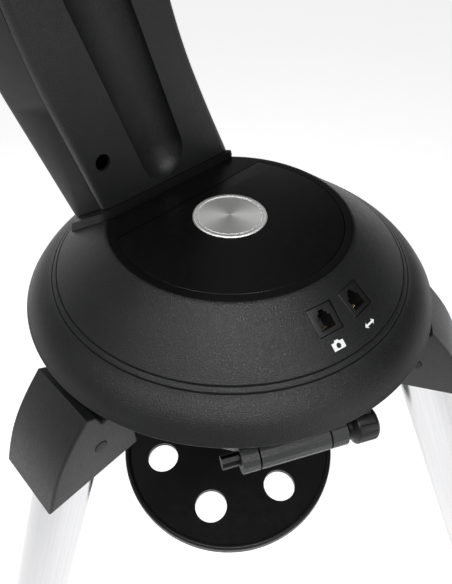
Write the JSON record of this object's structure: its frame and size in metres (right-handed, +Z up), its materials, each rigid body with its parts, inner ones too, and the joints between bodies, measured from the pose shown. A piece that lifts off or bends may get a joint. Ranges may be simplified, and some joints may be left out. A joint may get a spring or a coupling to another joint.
{
  "type": "telescope mount",
  "caption": "Motor-driven single-arm fork mount on a tilting wedge and folding tripod, with a dovetail saddle for a telescope tube.",
  "frame": {"origin": "On the floor at the centre of the footprint's box; the azimuth axis is vertical and crosses y = 0.1110 m.", "axes": "+Z up; the fork arm stands on the -X side of the azimuth axis and leans towards -Y; the cord sockets face +X."},
  "size_m": [0.8086, 0.7058, 1.033],
  "materials": {
    "textured_plastic": "fine-grained moulded black plastic",
    "satin_plastic": "smooth satin black plastic",
    "jack_plastic": "plain black moulding",
    "spun_aluminium": "spun and brushed, bright turned rim",
    "cast_alloy": "dark powder coat on a die casting",
    "bare_alloy": "satin machined",
    "blackened_steel": "black-oxide steel pins and bolt",
    "steel": "polished and brushed steel",
    "brass": "machined",
    "rubber": "matte black rubber",
    "circuit_green": "lacquered circuit laminate",
    "battery_sleeve": "printed film sleeve without text"
  },
  "bodies": {
    "tripod": {"tripod_hub": "cast_alloy", "leg_housing_1": "textured_plastic", "leg_housing_2": "textured_plastic", "leg_housing_3": "textured_plastic", "leg_pivot_pin_1": "blackened_steel", "leg_pivot_pin_2": "blackened_steel", "leg_pivot_pin_3": "blackened_steel", "centre_rod": "steel", "wedge_hinge_bolt": "blackened_steel"},
    "wedge": {"wedge_plate": "cast_alloy", "base_pan": "satin_plastic", "azimuth_shaft": "steel", "azimuth_worm_wheel": "brass", "azimuth_nut": "steel", "base_bolt": "steel"},
    "wedge_knob": {"wedge_clamp_knob": "satin_plastic"},
    "head": {"dome_cover": "textured_plastic", "chassis_plate": "cast_alloy", "azimuth_bearing": "steel", "azimuth_motor": "bare_alloy", "circuit_board": "circuit_green", "battery_tray": "satin_plastic", "battery_pack": "battery_sleeve", "camera_jack": "jack_plastic", "aux_jack": "jack_plastic", "power_jack": "jack_plastic", "arm_foot_collar": "satin_plastic", "arm_inner_shell": "textured_plastic", "arm_outer_shell": "satin_plastic", "arm_frame": "cast_alloy", "altitude_bearing": "steel", "altitude_motor": "bare_alloy", "altitude_cap": "satin_plastic"},
    "battery_lid": {"battery_cover": "satin_plastic", "badge_disc": "spun_aluminium"},
    "switch": {"power_switch": "satin_plastic"},
    "azimuth_worm_body": {"azimuth_worm": "steel"},
    "saddle": {"altitude_shaft": "steel", "altitude_worm_wheel": "brass", "dovetail_saddle": "bare_alloy"},
    "altitude_worm_body": {"altitude_worm": "steel"},
    "jaw": {"saddle_jaw": "bare_alloy"},
    "jaw_knob": {"saddle_knob": "satin_plastic"},
    "tray": {"accessory_tray": "satin_plastic"},
    "tray_nut": {"tray_knob": "satin_plastic"},
    "leg_1": {"upper_tube_1": "steel", "leg_clamp_1": "satin_plastic"},
    "leg_knob_1": {"leg_clamp_knob_1": "satin_plastic"},
    "lower_leg_1": {"lower_tube_1": "steel", "foot_1": "rubber"},
    "leg_2": {"upper_tube_2": "steel", "leg_clamp_2": "satin_plastic"},
    "leg_knob_2": {"leg_clamp_knob_2": "satin_plastic"},
    "lower_leg_2": {"lower_tube_2": "steel", "foot_2": "rubber"},
    "leg_3": {"upper_tube_3": "steel", "leg_clamp_3": "satin_plastic"},
    "leg_knob_3": {"leg_clamp_knob_3": "satin_plastic"},
    "lower_leg_3": {"lower_tube_3": "steel", "foot_3": "rubber"}
  },
  "joints": [
    {"name": "wedge_tilt", "type": "hinge", "parent": "tripod", "child": "wedge", "pos_m": [0.10955, 0.04774, 0.67], "axis": [0.5, 0.866, 0], "range_deg": [0, 65]},
    {"name": "wedge_knob_turn", "type": "hinge", "parent": "tripod", "child": "wedge_knob", "pos_m": [0.10955, 0.04774, 0.67], "axis": [0.5, 0.866, 0], "range_deg": [0, 720]},
    {"name": "azimuth", "type": "hinge", "parent": "wedge", "child": "head", "pos_m": [0, 0.11099, 0.7], "axis": [0, 0, 1], "continuous": true},
    {"name": "azimuth_worm_spin", "type": "hinge", "parent": "head", "child": "azimuth_worm_body", "pos_m": [-0.0499, 0.11099, 0.7135], "axis": [0, 1, 0], "continuous": true},
    {"name": "cover_lift", "type": "slide", "parent": "head", "child": "battery_lid", "axis": [0, 0, 1], "range_m": [0, 0.06]},
    {"name": "power_switch_rock", "type": "hinge", "parent": "head", "child": "switch", "pos_m": [-0.1295, 0.12689, 0.70805], "axis": [0.748, -0.0918, 0.6574], "range_deg": [0, 10]},
    {"name": "altitude", "type": "hinge", "parent": "head", "child": "saddle", "pos_m": [-0.055, 0.06999, 0.955], "axis": [1, 0, 0], "range_deg": [-20, 95]},
    {"name": "altitude_worm_spin", "type": "hinge", "parent": "head", "child": "altitude_worm_body", "pos_m": [-0.0662, 0.06999, 0.9231], "axis": [0, 1, 0], "range_deg": [-400, 1800]},
    {"name": "jaw_knob_turn", "type": "hinge", "parent": "saddle", "child": "jaw_knob", "pos_m": [-0.0307, 0.06999, 1.023], "axis": [0, 0, 1], "range_deg": [0, 1441]},
    {"name": "jaw_slide", "type": "slide", "parent": "saddle", "child": "jaw", "axis": [0, 0, 1], "range_m": [0, 0.005]},
    {"name": "tray_lift", "type": "slide", "parent": "tripod", "child": "tray", "axis": [0, 0, 1], "range_m": [0, 0.18]},
    {"name": "tray_knob_turn", "type": "hinge", "parent": "tripod", "child": "tray_nut", "pos_m": [0, 0.11099, 0.425], "axis": [0, 0, 1], "range_deg": [0, 720]},
    {"name": "leg_fold_1", "type": "hinge", "parent": "tripod", "child": "leg_1", "pos_m": [0.12038, 0.18049, 0.66], "axis": [-0.5, 0.866, 0], "range_deg": [0, 25]},
    {"name": "leg_extend_1", "type": "slide", "parent": "leg_1", "child": "lower_leg_1", "axis": [0.366, 0.2113, -0.9063], "range_m": [0, 0.27]},
    {"name": "leg_knob_turn_1", "type": "hinge", "parent": "leg_1", "child": "leg_knob_1", "pos_m": [0.26824, 0.26586, 0.29385], "axis": [0.7849, 0.4532, 0.4226], "range_deg": [0, 720]},
    {"name": "leg_fold_2", "type": "hinge", "parent": "tripod", "child": "leg_2", "pos_m": [-0.12038, 0.18049, 0.66], "axis": [-0.5, -0.866, 0], "range_deg": [0, 25]},
    {"name": "leg_extend_2", "type": "slide", "parent": "leg_2", "child": "lower_leg_2", "axis": [-0.366, 0.2113, -0.9063], "range_m": [0, 0.27]},
    {"name": "leg_knob_turn_2", "type": "hinge", "parent": "leg_2", "child": "leg_knob_2", "pos_m": [-0.26824, 0.26586, 0.29385], "axis": [-0.7849, 0.4532, 0.4226], "range_deg": [0, 720]},
    {"name": "leg_fold_3", "type": "hinge", "parent": "tripod", "child": "leg_3", "pos_m": [0, -0.02801, 0.66], "axis": [1, 0, 0], "range_deg": [0, 25]},
    {"name": "leg_extend_3", "type": "slide", "parent": "leg_3", "child": "lower_leg_3", "axis": [0, -0.4226, -0.9063], "range_m": [0, 0.27]},
    {"name": "leg_knob_turn_3", "type": "hinge", "parent": "leg_3", "child": "leg_knob_3", "pos_m": [0, -0.19875, 0.29385], "axis": [0, -0.9063, 0.4226], "range_deg": [0, 720]}
  ],
  "couplings": [
    {"joint": "azimuth_worm_spin", "follows": "azimuth", "ratio": 24},
    {"joint": "altitude_worm_spin", "follows": "altitude", "ratio": 18},
    {"joint": "jaw_knob_turn", "follows": "jaw_slide", "rad_per_m": 5026.5}
  ]
}
